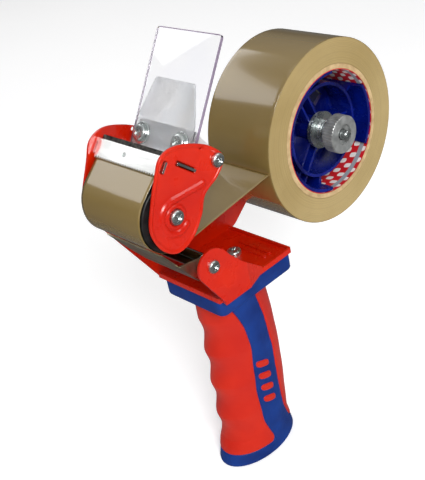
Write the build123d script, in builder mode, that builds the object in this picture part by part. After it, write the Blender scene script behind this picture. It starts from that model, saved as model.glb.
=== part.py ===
from build123d import *
import math
import os

# Hand-held tape gun: a steel frame with a cutting head, a braked reel with a roll of parcel tape,
# and a pistol grip of hard plastic with a soft overmould.
# Origin at the middle of the reel axle. +X points forward to the cutting head, +Y to the open side that
# the roll slides off, +Z away from the grip. Millimetres.

os.makedirs("parts", exist_ok=True)

# Tape and reel
tape_width = 50.0
half_tape = tape_width / 2
core_bore_r = 38.1
core_outer_r = 41.1
roll_r = 56.4
axle_r = 4.0
stud_r = 3.0
stud_gap = 0.5
run_gap = 0.05
free_gap = 0.35

# Sheet steel
sheet = 1.5
cheek_in = 27.6
cheek_out = cheek_in + sheet

# Head, as (x, z) centres
roller_x, roller_z = 130.2, 11.8
tyre_r = 20.2
tyre_half = 26.4
web_thick = 0.4
rod_x, rod_z = 95.8, 28.4
rod_r = 3.0
guide_x, guide_z = 115.6, -27.0
guide_r = 5.0

# Blade bracket: bend line at the top, one leg forward and down, one leg back and down
bend = (127.0, 44.6)
blade_dir = (0.674, -0.739)
brace_dir = (-0.739, -0.674)

# Flap
flap_low = (110.0, 33.6)
flap_dir = (-0.564, 0.826)
flap_out = (0.826, 0.564)
flap_long = 66.0
flap_half = 25.4
flap_thick = 2.0

# Tray, collar and grip
tray_back, tray_front = 50.5, 112.5
tray_half = 25.6
floor_z = -57.0
collar_low = -67.6
butt_low = -196.0
grip_x = 83.0
ear_out = 31.2
grip_bolts = ((71.5, -3.0), (90.0, -3.0))


def side(y):
    """Plane seen from the near side: sketch x is X, sketch y is Z, extrusion runs towards -Y."""
    return Plane(origin=(0, y, 0), x_dir=(1, 0, 0), z_dir=(0, -1, 0))


def along(start, direction, distance, offset=0.0):
    """Point at a distance along a direction in the XZ plane, moved sideways by an offset."""
    return (
        start[0] + direction[0] * distance - direction[1] * offset,
        start[1] + direction[1] * distance + direction[0] * offset,
    )


def slab(start, direction, length, thick, offset=0.0):
    """Corners of a thin strip in the XZ plane that starts at a point and runs along a direction."""
    return [
        along(start, direction, 0, offset),
        along(start, direction, length, offset),
        along(start, direction, length, offset + thick),
        along(start, direction, 0, offset + thick),
    ]


def save(piece, name):
    """Label a finished piece and write its STEP file."""
    piece.part.label = name
    export_step(piece.part, f"parts/{name}.step")


def rod(name, x, z, radius, y_high, y_low, bore=0.0):
    """Round bar or sleeve along Y, with a small chamfer at both ends."""
    with BuildPart() as bar:
        with BuildSketch(side(y_high)):
            with Locations((x, z)):
                Circle(radius)
                if bore:
                    Circle(bore, mode=Mode.SUBTRACT)
        extrude(amount=y_high - y_low)
        rims = bar.edges().filter_by(GeomType.CIRCLE).sort_by(SortBy.RADIUS)[-2:]
        chamfer(rims, min(0.4, radius * 0.1))
    save(bar, name)


def end_screws(name, x, z, near_face, far_face, shank_r, head_r, reach):
    """Two pan-head cross-slot screws that face each other along Y and enter one shaft."""
    with BuildPart() as screws:
        for face, way in ((near_face, 1), (far_face, -1)):
            seat = Plane(origin=(x, face, z), x_dir=(1, 0, 0), z_dir=(0, way, 0))
            with BuildSketch(seat):
                Circle(head_r)
            extrude(amount=head_r * 0.55)
            with BuildSketch(seat):
                Circle(shank_r)
            extrude(amount=-reach)
        heads = screws.edges().filter_by(GeomType.CIRCLE).sort_by(SortBy.RADIUS)[-4:]
        tops = [edge for edge in heads if abs(edge.center().Y) > max(near_face, -far_face) + 0.2]
        fillet(tops, head_r * 0.35)
        for face, way in ((near_face, 1), (far_face, -1)):
            top = face + way * head_r * 0.55
            slot_plane = Plane(origin=(x, top, z), x_dir=(1, 0, 1), z_dir=(0, way, 0))
            with BuildSketch(slot_plane):
                Rectangle(head_r * 1.05, head_r * 0.26)
                Rectangle(head_r * 0.26, head_r * 1.05)
            extrude(amount=-head_r * 0.32, mode=Mode.SUBTRACT)
    save(screws, name)


def torsion_spring(name, x, z, coil_r, wire_r, y_mid, turns, leg_dir, leg_long):
    """Close-wound torsion spring as a stack of touching rings' envelope with one straight leg."""
    half = turns * wire_r
    with BuildPart() as spring:
        with BuildSketch(side(y_mid + half)):
            with Locations((x, z)):
                Circle(coil_r + wire_r)
                Circle(coil_r - wire_r, mode=Mode.SUBTRACT)
        extrude(amount=2 * half)
        leg_at = (x - leg_dir[1] * coil_r, y_mid + half - wire_r, z + leg_dir[0] * coil_r)
        leg_plane = Plane(origin=leg_at, x_dir=(0, 1, 0), z_dir=(leg_dir[0], 0, leg_dir[1]))
        with BuildSketch(leg_plane):
            Circle(wire_r * 0.95)
        extrude(amount=leg_long)
    save(spring, name)


# ---------------------------------------------------------------- frame
# Far side plate: one blank that holds the reel, the far side of the head and the tray.
cheek_outline = [
    (131.8, 46.0),
    (124.0, 48.4),
    (113.0, 45.8),
    (99.0, 38.3),
    (90.8, 28.0),
    (97.6, 19.6),
    (108.4, 13.9),
    (113.6, 4.2),
    (122.6, -5.4),
    (134.2, -8.2),
    (143.8, -0.9),
    (147.8, 12.2),
    (143.0, 26.0),
    (136.5, 38.8),
]
far_column = [(130.2, 9.4, 17.2), (108.5, -54.0, 4.0), (94.0, -50.0, 8.0), (100.0, 22.0, 6.0)]
far_base = [(108.5, -54.0, 4.0), (52.0, -54.0, 4.0), (58.0, -36.0, 8.0), (100.0, -10.0, 10.0)]
far_arm = [(0.0, 0.0, 17.0), (50.0, -46.0, 10.0), (62.0, -30.0, 14.0)]


def hull_plate(circles, y_high, thick):
    """Add a flat plate whose outline is the convex hull of a few circles, given as (x, z, radius)."""
    with BuildSketch(side(y_high)) as outline:
        for x, z, radius in circles:
            with Locations((x, z)):
                Circle(radius)
        make_hull()
    extrude(outline.sketch, amount=thick)


def cheek_plate(y_high):
    """Add one head cheek, a flat plate inside a smooth closed outline."""
    with BuildSketch(side(y_high)) as outline:
        with BuildLine():
            Spline(*cheek_outline, periodic=True)
        make_face()
    extrude(outline.sketch, amount=sheet)


with BuildPart() as frame:
    cheek_plate(-cheek_in)
    for blank in (far_column, far_base, far_arm):
        hull_plate(blank, -cheek_in, sheet)
    # Tray floor with a low lip on its open sides
    with BuildSketch(Plane.XY.offset(floor_z)):
        with Locations(((tray_back + tray_front) / 2, (tray_half - cheek_out) / 2)):
            RectangleRounded(tray_front - tray_back, tray_half + cheek_out, 1.4)
    extrude(amount=sheet)
    with BuildSketch(Plane.XY.offset(floor_z)):
        with Locations(((tray_back + tray_front) / 2, (tray_half - cheek_out) / 2)):
            RectangleRounded(tray_front - tray_back, tray_half + cheek_out, 1.4)
            RectangleRounded(
                tray_front - tray_back - 2 * sheet,
                tray_half + cheek_out - 2 * sheet,
                0.5,
                mode=Mode.SUBTRACT,
            )
    extrude(amount=3.4)
    # Near ear: an outboard panel round the guide shaft's end, and a facet that slants back to the tray
    hull_plate([(guide_x, guide_z, 10.4), (109.4, -52.6, 3.0), (95.0, -52.6, 3.0)], ear_out, sheet)
    ear_foot = [(92.0, tray_half - sheet), (110.5, tray_half - sheet), (112.4, ear_out), (92.0, ear_out)]
    with BuildSketch(Plane.XY.offset(-55.6)):
        with BuildLine():
            Polyline(*ear_foot, close=True)
        make_face()
    extrude(amount=3.0)
    facet = [
        (107.0, ear_out),
        (92.0, ear_out),
        (76.0, tray_half),
        (76.0, tray_half - sheet),
        (91.4, ear_out - sheet),
        (107.0, ear_out - sheet),
    ]
    with BuildSketch(Plane.XY.offset(-55.6)):
        with BuildLine():
            Polyline(*facet, close=True)
        make_face()
    extrude(amount=40)
    ear_slope = [(112, -16.2), (106.4, -20.8), (102, -27.4), (95, -35.4), (84.6, -44.8), (76, -52.6)]
    with BuildSketch(side(ear_out + 1)):
        with BuildLine():
            Polyline(*ear_slope, (70, -52.6), (70, -10), close=True)
        make_face()
    extrude(amount=10, mode=Mode.SUBTRACT)
    # Pressed ribs across the tray, and the stiffening bead down the far plate
    for rib_x in (60.0, 64.4):
        with BuildSketch(Plane.XY.offset(floor_z + sheet)):
            with Locations((rib_x, 4.0)):
                SlotOverall(26, 2.6, rotation=90)
        extrude(amount=1.1)
    with BuildSketch(side(-cheek_in + 1.0)):
        with BuildLine() as bead:
            FilletPolyline((18, -4), (56, -36), (88, -40), (112, -10), radius=14)
        trace(bead.line, line_width=3.6)
    extrude(amount=1.2)
    # Holes: reel axle, head screws, guide screw, blade bracket slots, grip bolts
    for x, z, radius in (
        (0, 0, axle_r),
        (roller_x, roller_z, 2.05),
        (rod_x, rod_z, 2.05),
        (guide_x, guide_z, 2.05),
        (104.2, 39.4, 1.3),
    ):
        with BuildSketch(side(40)):
            with Locations((x, z)):
                Circle(radius)
        extrude(amount=80, mode=Mode.SUBTRACT)
    with BuildSketch(Plane.XY.offset(floor_z - 1)):
        with Locations(*grip_bolts):
            Circle(3.1)
    extrude(amount=6, mode=Mode.SUBTRACT)
    with BuildSketch(side(-cheek_in + 2)):
        with BuildLine():
            Polyline(*slab(along(bend, blade_dir, 2.0), blade_dir, 6.4, 1.6, -1.4), close=True)
        make_face()
        with BuildLine():
            Polyline(*slab(along(bend, brace_dir, 7.6), brace_dir, 14.4, 1.6, -0.2), close=True)
        make_face()
    extrude(amount=6, mode=Mode.SUBTRACT)
save(frame, "frame")


# ---------------------------------------------------------------- head
with BuildPart() as near_cheek:
    cheek_plate(cheek_out)
    # A pressed bead wraps the roller screw, with a round boss under the screw's head
    bead_path = [(108.5, 20.4), (135, 21.4), (141.4, 11.4), (134.6, 0.6), (124.6, 1.4)]
    with BuildSketch(side(cheek_out + 0.9)):
        with BuildLine() as upper_bead:
            FilletPolyline(*bead_path, radius=6.0)
        trace(upper_bead.line, line_width=2.4)
    extrude(amount=1.0)
    with BuildSketch(side(cheek_out + 0.9)):
        with Locations((roller_x, roller_z)):
            Circle(6.8)
            Circle(4.8, mode=Mode.SUBTRACT)
    extrude(amount=1.0)
    for x, z, radius in ((roller_x, roller_z, 2.05), (rod_x, rod_z, 2.05), (104.2, 39.4, 1.3)):
        with BuildSketch(side(40)):
            with Locations((x, z)):
                Circle(radius)
        extrude(amount=30, mode=Mode.SUBTRACT)
    with BuildSketch(side(cheek_out + 2)):
        with BuildLine():
            Polyline(*slab(along(bend, blade_dir, 2.0), blade_dir, 6.4, 1.6, -1.4), close=True)
        make_face()
        with BuildLine():
            Polyline(*slab(along(bend, brace_dir, 7.6), brace_dir, 14.4, 1.6, -0.2), close=True)
        make_face()
    extrude(amount=6, mode=Mode.SUBTRACT)
save(near_cheek, "near_cheek")

# L-shaped bracket between the cheeks; its tabs pass through their slots
bracket_thick = 1.2
with BuildPart() as blade_bracket:
    with BuildSketch(side(cheek_in)):
        with BuildLine():
            Polyline(*slab(bend, blade_dir, 8.2, bracket_thick, -bracket_thick), close=True)
        make_face()
        with BuildLine():
            Polyline(*slab(bend, brace_dir, 23.0, bracket_thick), close=True)
        make_face()
    extrude(amount=2 * cheek_in)
    with BuildSketch(side(cheek_out + 0.4)):
        with BuildLine():
            Polyline(*slab(along(bend, blade_dir, 2.2), blade_dir, 6.0, 1.2, -1.2), close=True)
        make_face()
        with BuildLine():
            Polyline(*slab(along(bend, brace_dir, 7.8), brace_dir, 14.0, 1.2), close=True)
        make_face()
    extrude(amount=2 * cheek_out + 0.8)
save(blade_bracket, "blade_bracket")

blade_half = 25.6
tooth_count = 26
blade_top, blade_root, blade_tip = -0.4, -9.4, -10.9
blade_plane = Plane(
    origin=(bend[0], 0, bend[1]), x_dir=(0, 1, 0), z_dir=(-blade_dir[1], 0, blade_dir[0])
)
with BuildPart() as blade:
    pitch = 2 * blade_half / tooth_count
    teeth = [
        (-blade_half + pitch * step / 2, blade_tip if step % 2 else blade_root)
        for step in range(2 * tooth_count + 1)
    ]
    with BuildSketch(blade_plane):
        with BuildLine():
            Polyline((blade_half, blade_top), (-blade_half, blade_top), *teeth, close=True)
        make_face()
        with Locations((-2.0, -5.0)):
            Circle(1.4, mode=Mode.SUBTRACT)
    extrude(amount=0.7)
save(blade, "blade")

with BuildPart() as blade_rivet:
    with BuildSketch(blade_plane):
        with Locations((-2.0, -5.0)):
            Circle(1.35)
    extrude(amount=0.5)
save(blade_rivet, "blade_rivet")

with BuildPart() as guard_strip:
    notches = 48
    pitch = 2 * (blade_half - 0.8) / notches
    comb = [
        (-blade_half + 0.8 + pitch * step / 2, 2.6 if step % 2 else 2.0)
        for step in range(2 * notches + 1)
    ]
    with BuildSketch(blade_plane.offset(-1.0)):
        with BuildLine():
            Polyline((blade_half - 0.8, 0), (-blade_half + 0.8, 0), *comb, close=True)
        make_face()
    extrude(amount=0.8)
save(guard_strip, "guard_strip")

rod("roller_axle", roller_x, roller_z, 4.0, cheek_in, -cheek_in)
rod("roller_core", roller_x, roller_z, 14.0, tyre_half, -tyre_half, bore=4.0 + run_gap)
rod("roller_tyre", roller_x, roller_z, tyre_r, tyre_half, -tyre_half, bore=14.0)
rod("pivot_rod", rod_x, rod_z, rod_r, cheek_in, -cheek_in)
rod("guide_shaft", guide_x, guide_z, 2.6, ear_out - sheet, -cheek_in)
rod("guide_roller", guide_x, guide_z, guide_r, 24.0, -24.0, bore=2.6 + run_gap)
end_screws("roller_screws", roller_x, roller_z, cheek_out, -cheek_out, 2.0, 4.3, sheet)
end_screws("rod_screws", rod_x, rod_z, cheek_out, -cheek_out, 2.0, 4.0, sheet)
end_screws("guide_screws", guide_x, guide_z, ear_out, -cheek_out, 2.0, 3.9, sheet)

# Backstop: polished plate whose upper edge rides just under the tape on the roller
stop_low = (121.4, -36.0)
stop_dir = (0.588, 0.809)
stop_long = 34.6
stop_thick = 0.8
with BuildPart() as backstop_plate:
    with BuildSketch(side(23.8)):
        with BuildLine():
            Polyline(*slab(stop_low, stop_dir, stop_long, stop_thick), close=True)
        make_face()
    extrude(amount=47.6)
    for face in (25.6, -24.2):
        with BuildSketch(side(face)):
            with Locations((guide_x, guide_z)):
                Circle(4.4)
            for reach in (7.0, 20.0):
                with Locations(along(stop_low, stop_dir, reach, 0.5)):
                    Circle(0.5)
            make_hull()
            with Locations((guide_x, guide_z)):
                Circle(2.6 + run_gap, mode=Mode.SUBTRACT)
        extrude(amount=1.4)
    for near, far in ((24.3, 23.7), (-23.7, -24.3)):
        with BuildSketch(side(near)):
            with BuildLine():
                Polyline(*slab(along(stop_low, stop_dir, 7.0), stop_dir, 13.0, stop_thick), close=True)
            make_face()
        extrude(amount=near - far)
save(backstop_plate, "backstop_plate")
torsion_spring("backstop_spring", guide_x, guide_z, 3.7, 0.45, 27.6, 4, (0.99, 0.14), 6.0)

# ---------------------------------------------------------------- flap
flap_plane = Plane(
    origin=(flap_low[0], 0, flap_low[1]), x_dir=(0, 1, 0), z_dir=(flap_out[0], 0, flap_out[1])
)
screw_up = 7.4
screw_y = 15.8
with BuildPart() as flap:
    with BuildSketch(flap_plane):
        with Locations((0, flap_long / 2)):
            RectangleRounded(2 * flap_half, flap_long, 2.2)
        with Locations((screw_y, screw_up), (-screw_y, screw_up)):
            Circle(2.1, mode=Mode.SUBTRACT)
    extrude(amount=-flap_thick)
    chamfer(flap.faces().sort_by(SortBy.AREA)[-1].outer_wire().edges(), 0.3)
save(flap, "flap")

with BuildPart() as flap_stiffener:
    with BuildSketch(flap_plane) as stiffener_face:
        with BuildLine():
            Polyline((-23, 0.6), (23, 0.6), (22.6, 18), (15.5, 39), (-15.5, 39), (-22.6, 18), close=True)
        make_face()
        fillet(stiffener_face.vertices(), 2.0)
        with Locations((screw_y, screw_up), (-screw_y, screw_up)):
            Circle(2.1, mode=Mode.SUBTRACT)
    extrude(amount=1.0)
save(flap_stiffener, "flap_stiffener")

with BuildPart() as flap_collars:
    with BuildSketch(flap_plane.offset(1.0)):
        with Locations((screw_y, screw_up), (-screw_y, screw_up)):
            Circle(6.2)
            Circle(2.1, mode=Mode.SUBTRACT)
    extrude(amount=1.3)
    chamfer(flap_collars.edges().filter_by(GeomType.CIRCLE).sort_by(SortBy.RADIUS)[-4:], 0.3)
save(flap_collars, "flap_collars")

with BuildPart() as flap_screws:
    with BuildSketch(flap_plane.offset(2.3)):
        with Locations((screw_y, screw_up), (-screw_y, screw_up)):
            Circle(4.8)
    extrude(amount=2.3)
    fillet(flap_screws.faces().sort_by(Axis((0, 0, 0), (flap_out[0], 0, flap_out[1])))[-2:].edges(), 1.3)
    with BuildSketch(flap_plane.offset(-3.5)):
        with Locations((screw_y, screw_up), (-screw_y, screw_up)):
            Circle(2.0)
    extrude(amount=5.8)
    with BuildSketch(flap_plane.offset(4.6)):
        with Locations((screw_y, screw_up), (-screw_y, screw_up)):
            Rectangle(5.2, 1.3, rotation=35)
            Rectangle(1.3, 5.2, rotation=35)
    extrude(amount=-1.2, mode=Mode.SUBTRACT)
save(flap_screws, "flap_screws")

# Clamp: a plate behind the flap with two lugs that turn on the pivot rod
with BuildPart() as flap_clamp:
    with BuildSketch(flap_plane.offset(-flap_thick)):
        with Locations((0, 8.4)):
            RectangleRounded(45, 13.6, 1.5)
        with Locations((screw_y, screw_up), (-screw_y, screw_up)):
            Circle(2.1, mode=Mode.SUBTRACT)
    extrude(amount=-1.5)
    for lug_y in (21.5, -19.5):
        with BuildSketch(side(lug_y)):
            with Locations((rod_x, rod_z)):
                Circle(5.6)
            for rise in (4.4, 13.4):
                with Locations(along(flap_low, flap_dir, rise, flap_thick + 1.2)):
                    Circle(0.8)
            make_hull()
            with Locations((rod_x, rod_z)):
                Circle(rod_r + run_gap, mode=Mode.SUBTRACT)
        extrude(amount=2.0)
save(flap_clamp, "flap_clamp")
torsion_spring("flap_spring", rod_x, rod_z, 4.0, 0.5, 12.0, 6, (0.55, 0.83), 9.0)

# ---------------------------------------------------------------- reel
stud_low = 14.1
rod("reel_axle", 0, 0, axle_r, stud_low, -36.5)

# Threaded stud for the brake, with a hexagon socket in its end
with BuildPart() as brake_stud:
    with BuildSketch(side(37.0)):
        Circle(stud_r)
    extrude(amount=37.0 - stud_low)
    chamfer(brake_stud.faces().sort_by(Axis.Y)[-1].edges(), 0.5)
    with BuildSketch(side(37.0)):
        RegularPolygon(1.5, 6)
    extrude(amount=2.0, mode=Mode.SUBTRACT)
save(brake_stud, "brake_stud")


def disc(name, y_high, thick, outer_r, inner_r=axle_r + run_gap, sides=0):
    """Washer or, with sides given, a nut on the reel axle."""
    with BuildPart() as ring:
        with BuildSketch(side(y_high)):
            if sides:
                RegularPolygon(outer_r, sides)
            else:
                Circle(outer_r)
            Circle(inner_r, mode=Mode.SUBTRACT)
        extrude(amount=thick)
        if not sides:
            rims = ring.edges().filter_by(GeomType.CIRCLE).sort_by(SortBy.RADIUS)[-2:]
            chamfer(rims, min(0.25, thick / 4))
    save(ring, name)


disc("axle_washer", -cheek_out, 1.4, 9.0, axle_r)
disc("axle_lock_nut", -cheek_out - 1.4, 5.6, 7.5, axle_r, sides=6)
disc("axle_shoulder_nut", -24.6, 3.0, 7.5, axle_r, sides=6)

# Hub: boss, web, ring and three petals that carry the core
petals = [(1.0, 101.0), (153.0, 216.0), (279.0, 343.0)]
rib_angles = [69.0, 189.0, 309.0]
hub_r = 37.5
ring_r = 29.2
wall = 2.0


def polar(radius, angle):
    """Point in the XZ plane at an angle in degrees from +X."""
    return (radius * math.cos(math.radians(angle)), radius * math.sin(math.radians(angle)))


def petal_outline(inner, outer, start, end):
    """Closed sector of a ring, drawn into the active line."""
    middle = (start + end) / 2
    ThreePointArc(polar(outer, start), polar(outer, middle), polar(outer, end))
    Line(polar(outer, end), polar(inner, end))
    ThreePointArc(polar(inner, end), polar(inner, middle), polar(inner, start))
    Line(polar(inner, start), polar(outer, start))


with BuildPart() as reel_hub:
    with BuildSketch(side(14.0)):
        Circle(8.8)
    extrude(amount=38.0)
    with BuildSketch(side(18.0)):
        Circle(ring_r)
        Circle(ring_r - wall, mode=Mode.SUBTRACT)
    extrude(amount=22.0)
    with BuildSketch(side(2.0)):
        Circle(ring_r)
        for window in (96.0, 216.0, 336.0):
            with BuildLine():
                petal_outline(15.0, 23.5, window, window + 52)
            make_face(mode=Mode.SUBTRACT)
    extrude(amount=2.4)
    for start, end in petals:
        with BuildSketch(side(2.0)):
            with BuildLine():
                petal_outline(ring_r - 1, hub_r, start, end)
            make_face()
        extrude(amount=2.4)
        with BuildSketch(side(24.4)):
            with BuildLine():
                petal_outline(hub_r - wall, hub_r, start, end)
            make_face()
        extrude(amount=48.6)
        for edge_angle in (start, end - 3.4):
            with BuildSketch(side(15.0)):
                with BuildLine():
                    petal_outline(ring_r - 1, hub_r - 1, edge_angle, edge_angle + 3.4)
                make_face()
            extrude(amount=15.0)
    for angle in rib_angles:
        with BuildSketch(side(13.8)):
            for shift in (-3.6, 3.6):
                with Locations(Location((0, 0, 0), angle)):
                    with Locations((22.2, shift)):
                        Rectangle(28.4, 1.5)
        extrude(amount=13.0)
    with BuildSketch(side(40)):
        Circle(axle_r + run_gap)
    extrude(amount=80, mode=Mode.SUBTRACT)
save(reel_hub, "reel_hub")

rod("core_liner", 0, 0, core_bore_r, half_tape, -half_tape, bore=core_bore_r - 0.5)
rod("roll_core", 0, 0, core_outer_r, half_tape, -half_tape, bore=core_bore_r)
rod("tape_roll", 0, 0, roll_r, half_tape, -half_tape, bore=core_outer_r)

# Brake stack on the near end of the axle
with BuildPart() as brake_washers:
    for near, outer in ((15.1, 11.0), (16.1, 10.2), (17.1, 11.4)):
        with BuildSketch(side(near)):
            Circle(outer)
            Circle(stud_r + stud_gap, mode=Mode.SUBTRACT)
        extrude(amount=0.9)
save(brake_washers, "brake_washers")

with BuildPart() as brake_spring:
    with BuildSketch(side(24.9)):
        Circle(7.6)
        Circle(5.4, mode=Mode.SUBTRACT)
    extrude(amount=7.7)
save(brake_spring, "brake_spring")
disc("thrust_washer", 26.0, 1.0, 8.6, stud_r + stud_gap)

with BuildPart() as brake_nut:
    with BuildSketch(side(34.0)):
        Circle(11.6)
    extrude(amount=7.9)
    chamfer(brake_nut.edges().filter_by(GeomType.CIRCLE), 0.5)
    with BuildSketch(side(34.0)):
        with PolarLocations(11.6, 40):
            Circle(0.42)
    extrude(amount=7.9, mode=Mode.SUBTRACT)
    with BuildSketch(side(34.0)):
        Circle(6.2)
    extrude(amount=1.6, mode=Mode.SUBTRACT)
    with BuildSketch(side(34.0)):
        Circle(stud_r + stud_gap)
    extrude(amount=10, mode=Mode.SUBTRACT)
save(brake_nut, "brake_nut")

# Tape between roll and blade: a straight run, round the roller, up behind the blade's teeth
path_r = tyre_r + free_gap + web_thick / 2
peel = (roll_r + 0.7, -1.0)
torn = along(bend, blade_dir, 9.4, -0.5)


def touch_angle(point, way):
    """Angle on the roller where a line from a point touches it, on one side or the other."""
    dx, dz = point[0] - roller_x, point[1] - roller_z
    return math.degrees(math.atan2(dz, dx) + way * math.acos(path_r / math.hypot(dx, dz)))


def on_roller(angle):
    """Point on the tape's path round the roller."""
    x, z = polar(path_r, angle)
    return (roller_x + x, roller_z + z)


first_touch = touch_angle(peel, 1)
last_touch = touch_angle(torn, -1)
if first_touch > 180:
    first_touch -= 360
with BuildPart() as tape_web:
    with BuildSketch(side(half_tape)):
        with BuildLine() as web_path:
            Line(peel, on_roller(first_touch))
            ThreePointArc(
                on_roller(first_touch), on_roller((first_touch + last_touch) / 2), on_roller(last_touch)
            )
            Line(on_roller(last_touch), torn)
        trace(web_path.line, line_width=web_thick)
    extrude(amount=tape_width)
save(tape_web, "tape_web")

# ---------------------------------------------------------------- grip
grip_top = collar_low
finger_pitch = 25.0
first_knuckle = -108.0


def grip_section(z):
    """Centre x and half-sizes of the grip at a height: scalloped at the front, flared at the butt."""
    down = (grip_top - z) / (grip_top - butt_low)
    fingers = first_knuckle - 3 * finger_pitch < z < first_knuckle + finger_pitch
    scallop = 2.6 * math.sin(math.pi * (z - first_knuckle) / finger_pitch) ** 2 if fingers else 0.0
    flare = 5.0 * max(0.0, (down - 0.86) / 0.14)
    front = 107.5 + 6.0 * down - scallop + flare
    back = 60.5 - 3.6 * math.sin(math.pi * min(1.0, down * 1.2)) - 0.7 * flare
    half = 17.2 + 1.0 * down + 0.2 * flare
    return (front + back) / 2, (front - back) / 2, half


station_count = 21
station_gap = (grip_top - butt_low) / (station_count - 1)
stations = [grip_top - station_gap * step for step in range(station_count)]
with BuildPart() as grip_shape:
    for z in stations:
        centre, half_x, half_y = grip_section(z)
        with BuildSketch(Plane.XY.offset(z)):
            with Locations((centre, 0)):
                Ellipse(half_x, half_y)
    loft()

with BuildPart() as grip_inside:
    for z in (grip_top, -130.0, -187.0):
        centre, half_x, half_y = grip_section(z)
        with BuildSketch(Plane.XY.offset(z)):
            with Locations((centre - 0.8, 0)):
                Ellipse(half_x - 6.5, half_y - 3.5)
    loft()

# Side strip and butt of hard plastic, seen from the side
with BuildPart() as strip:
    with BuildSketch(side(30)):
        with BuildLine():
            Spline((102, -66), (91, -92), (89.5, -108), (92.5, -140), (92, -168), (86.5, -184))
            Line((86.5, -184), (90, -187.5))
            Line((90, -187.5), (130, -187.5))
            Line((130, -187.5), (130, -200))
            Line((130, -200), (40, -200))
            Line((40, -200), (40, -184))
            Line((40, -184), (66, -184))
            Spline((66, -184), (71.5, -170), (73, -148), (72, -118), (74.5, -92), (80, -66))
            Line((80, -66), (102, -66))
        make_face()
    extrude(amount=60)

with BuildPart() as handle_body:
    add(grip_shape.part)
    add(strip.part, mode=Mode.INTERSECT)
    add(grip_inside.part)
    with BuildSketch(Plane.XY.offset(collar_low)):
        with Locations(((tray_back + tray_front) / 2, 0)):
            RectangleRounded(tray_front - tray_back - 1.0, 2 * tray_half - 0.8, 4.0)
    extrude(amount=floor_z - collar_low)
    with BuildSketch(Plane.XY.offset(floor_z)):
        with Locations(*grip_bolts):
            Circle(3.05)
    extrude(amount=-42, mode=Mode.SUBTRACT)
    with BuildSketch(Plane.XY.offset(-92)):
        with Locations(*grip_bolts):
            RegularPolygon(5.6, 6)
    extrude(amount=-5.2, mode=Mode.SUBTRACT)
save(handle_body, "handle_body")

for name, keep_front in (("grip_front", True), ("grip_back", False)):
    with BuildPart() as pad:
        add(grip_shape.part)
        add(strip.part, mode=Mode.SUBTRACT)
        add(grip_inside.part, mode=Mode.SUBTRACT)
        with BuildSketch(Plane.XY.offset(-210)):
            with Locations((grip_x - 50 if keep_front else grip_x + 50, 0)):
                Rectangle(100, 100)
        extrude(amount=160, mode=Mode.SUBTRACT)
    save(pad, name)

with BuildPart() as grip_screws:
    with BuildSketch(Plane.XY.offset(floor_z + sheet)):
        with Locations(*grip_bolts):
            Circle(4.6)
    extrude(amount=3.2)
    fillet(grip_screws.faces().filter_by(Axis.Z).sort_by(Axis.Z)[-2:].edges(), 1.6)
    with BuildSketch(Plane.XY.offset(floor_z + sheet)):
        with Locations(*grip_bolts):
            Circle(3.0)
    extrude(amount=-43)
    with BuildSketch(Plane.XY.offset(floor_z + sheet + 3.2)):
        with Locations(*grip_bolts):
            Rectangle(5.0, 1.2, rotation=20)
            Rectangle(1.2, 5.0, rotation=20)
    extrude(amount=-1.4, mode=Mode.SUBTRACT)
save(grip_screws, "grip_bolts")

with BuildPart() as grip_nuts:
    with BuildSketch(Plane.XY.offset(-92.1)):
        with Locations(*grip_bolts):
            RegularPolygon(5.5, 6)
            Circle(3.0, mode=Mode.SUBTRACT)
    extrude(amount=-5.0)
save(grip_nuts, "grip_nuts")
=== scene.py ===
import bpy
import bmesh
import math
import numpy as np
from mathutils import Matrix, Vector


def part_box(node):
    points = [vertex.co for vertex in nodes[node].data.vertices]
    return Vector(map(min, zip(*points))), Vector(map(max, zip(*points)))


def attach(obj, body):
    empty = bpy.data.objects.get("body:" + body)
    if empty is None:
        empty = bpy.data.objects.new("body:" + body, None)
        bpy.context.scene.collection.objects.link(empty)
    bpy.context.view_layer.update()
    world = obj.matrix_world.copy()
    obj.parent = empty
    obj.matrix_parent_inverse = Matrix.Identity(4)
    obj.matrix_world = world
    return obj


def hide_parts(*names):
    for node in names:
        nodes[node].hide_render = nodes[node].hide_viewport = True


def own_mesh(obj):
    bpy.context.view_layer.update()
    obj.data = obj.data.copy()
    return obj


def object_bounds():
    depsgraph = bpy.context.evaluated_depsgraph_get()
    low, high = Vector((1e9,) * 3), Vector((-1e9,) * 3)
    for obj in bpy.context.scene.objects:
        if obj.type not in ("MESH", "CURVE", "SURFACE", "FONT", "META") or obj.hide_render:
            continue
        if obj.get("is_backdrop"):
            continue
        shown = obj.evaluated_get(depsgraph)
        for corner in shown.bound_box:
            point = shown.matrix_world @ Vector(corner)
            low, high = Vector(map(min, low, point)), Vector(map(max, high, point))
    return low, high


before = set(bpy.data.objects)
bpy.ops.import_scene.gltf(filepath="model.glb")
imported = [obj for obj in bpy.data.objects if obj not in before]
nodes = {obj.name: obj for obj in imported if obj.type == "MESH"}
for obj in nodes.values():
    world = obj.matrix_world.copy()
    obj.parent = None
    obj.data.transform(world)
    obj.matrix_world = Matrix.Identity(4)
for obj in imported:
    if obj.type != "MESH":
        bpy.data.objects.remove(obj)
cadBounds = [list(corner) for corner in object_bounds()]
mm = 0.001
bpy.context.scene.view_settings.view_transform = "Standard"  # product colours stay as they are mixed


def span(node):
    # lowest and highest corner of a CAD node, in millimetres
    low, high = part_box(node)
    return np.array(low) / mm, np.array(high) / mm


def tone(red, green, blue):
    # screen colour 0..255 to linear light: (c/255)^2.2
    return tuple((c / 255.0) ** 2.2 for c in (red, green, blue)) + (1.0,)


# camera, floor and light

viewing = {
    "azimuth": 142.35,
    "elevation": 30.6,
    "roll": -12.68,
    "distance": 0.5439,
    "sideways": 0.0553,
    "upward": 0.0715,
    "lens": 65.6,
}


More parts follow.
